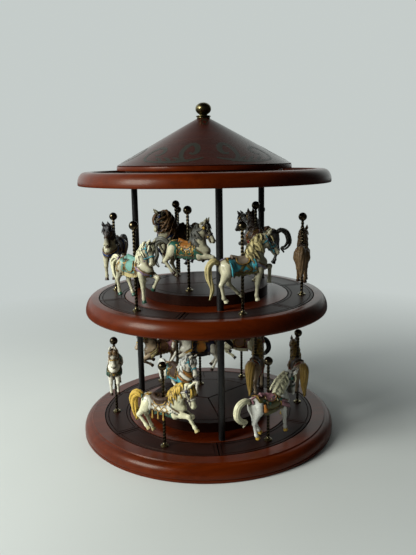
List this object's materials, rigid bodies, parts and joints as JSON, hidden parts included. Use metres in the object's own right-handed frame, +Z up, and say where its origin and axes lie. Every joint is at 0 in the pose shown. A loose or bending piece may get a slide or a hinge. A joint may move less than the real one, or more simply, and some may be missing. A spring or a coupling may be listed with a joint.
{
  "type": "table-top display carousel",
  "caption": "Two-tier wooden display carousel for a table: painted horse figurines on brass poles on panelled round decks held by slim posts, under a moulded canopy with a low cone.",
  "frame": {"origin": "centre of the foot, on the surface that the stand rests on", "axes": "+Z up along the axis of the round decks; -Y towards the viewer of the picture; +X to the right"},
  "size_m": [0.37, 0.37, 0.4685],
  "materials": {
    "mahogany": "satin lacquered mahogany",
    "dark_stain": "dark stained, satin lacquer",
    "black_lacquer": "black lacquer",
    "aged_brass": "aged, lacquered",
    "white_glaze": "glazed porcelain, hand painted",
    "grey_glaze": "glazed porcelain, hand painted",
    "brown_glaze": "glazed porcelain, hand painted",
    "blue_glaze": "glazed porcelain, hand painted"
  },
  "bodies": {
    "root": {"base_board": "mahogany", "lower_track": "dark_stain", "lower_drum": "dark_stain", "upper_board": "mahogany", "upper_track": "dark_stain", "upper_drum": "dark_stain", "post_1": "black_lacquer", "post_2": "black_lacquer", "post_3": "black_lacquer", "canopy_rim": "mahogany", "ceiling_board": "dark_stain", "roof_skirt": "mahogany", "roof_cone": "dark_stain", "finial": "aged_brass", "horse_lower_track_1": "grey_glaze", "pole_lower_track_1": "aged_brass", "horse_lower_track_2": "white_glaze", "pole_lower_track_2": "aged_brass", "horse_lower_track_3": "white_glaze", "pole_lower_track_3": "aged_brass", "horse_lower_track_4": "brown_glaze", "pole_lower_track_4": "aged_brass", "horse_lower_track_5": "white_glaze", "pole_lower_track_5": "aged_brass", "horse_lower_track_6": "brown_glaze", "pole_lower_track_6": "aged_brass", "horse_lower_drum_1": "white_glaze", "pole_lower_drum_1": "aged_brass", "horse_lower_drum_2": "brown_glaze", "pole_lower_drum_2": "aged_brass", "horse_lower_drum_3": "blue_glaze", "pole_lower_drum_3": "aged_brass", "horse_upper_track_1": "white_glaze", "pole_upper_track_1": "aged_brass", "horse_upper_track_2": "white_glaze", "pole_upper_track_2": "aged_brass", "horse_upper_track_3": "white_glaze", "pole_upper_track_3": "aged_brass", "horse_upper_track_4": "grey_glaze", "pole_upper_track_4": "aged_brass", "horse_upper_track_5": "grey_glaze", "pole_upper_track_5": "aged_brass", "horse_upper_track_6": "blue_glaze", "pole_upper_track_6": "aged_brass", "horse_upper_drum_1": "white_glaze", "pole_upper_drum_1": "aged_brass", "horse_upper_drum_2": "brown_glaze", "pole_upper_drum_2": "aged_brass", "horse_upper_drum_3": "brown_glaze", "pole_upper_drum_3": "aged_brass"}
  },
  "joints": []
}
